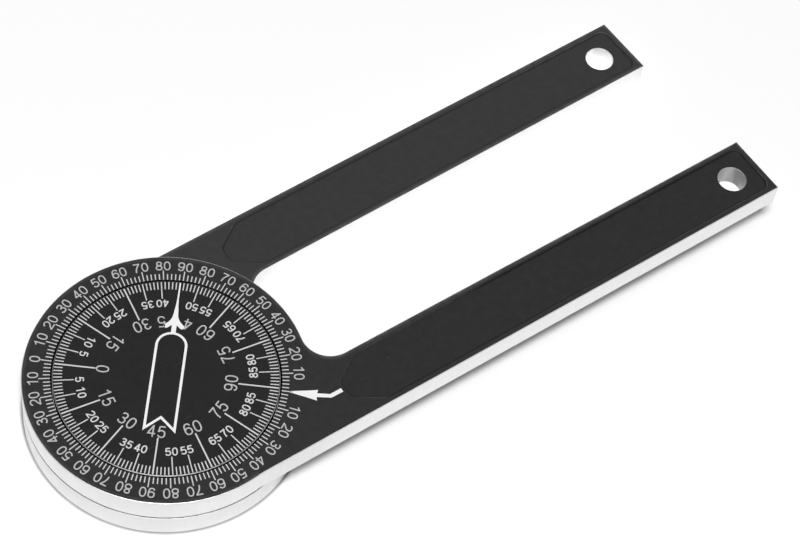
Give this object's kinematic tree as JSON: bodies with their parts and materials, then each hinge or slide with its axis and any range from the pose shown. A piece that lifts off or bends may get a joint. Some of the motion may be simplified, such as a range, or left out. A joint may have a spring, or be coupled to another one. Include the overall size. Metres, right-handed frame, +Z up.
{
  "type": "angle finder",
  "caption": "Flat hand protractor: two straight metal arms, one above the other, turn on a round numbered dial to take the angle of a corner and show the saw settings.",
  "frame": {"origin": "centre of the pivot on the underside of the lower arm, which is the face that the tool lies on", "axes": "+X along the lower arm away from the pivot, +Y towards the lower arm's outer measuring edge, +Z up along the pivot axis through the dial"},
  "size_m": [0.1882, 0.0675, 0.0132],
  "materials": {
    "upper_plate": "flat aluminium plate with matt black faces and bright machined edges, white printed scale",
    "lower_plate": "flat aluminium plate with matt black faces and bright machined edges",
    "dial": "matt black disc with a white printed scale",
    "hub": "turned, plain",
    "washer": "natural white slip washer",
    "seal": "plain black rubber",
    "screw": "plated steel, countersunk, six-sided socket",
    "pin": "ground steel"
  },
  "bodies": {
    "lower_body": {"lower_arm": "lower_plate", "pivot_hub": "hub", "scale_dial": "dial", "glide_washer": "washer", "dial_washer": "washer", "friction_ring": "seal", "dial_screw_1": "screw", "dial_screw_2": "screw", "dial_screw_3": "screw", "dial_screw_4": "screw", "locating_pin_1": "pin", "locating_pin_2": "pin"},
    "upper_body": {"upper_arm": "upper_plate"}
  },
  "joints": [
    {"name": "dial_pivot", "type": "hinge", "parent": "lower_body", "child": "upper_body", "pos_m": [0, 0, 0.0069], "axis": [0, 0, 1], "continuous": true}
  ]
}
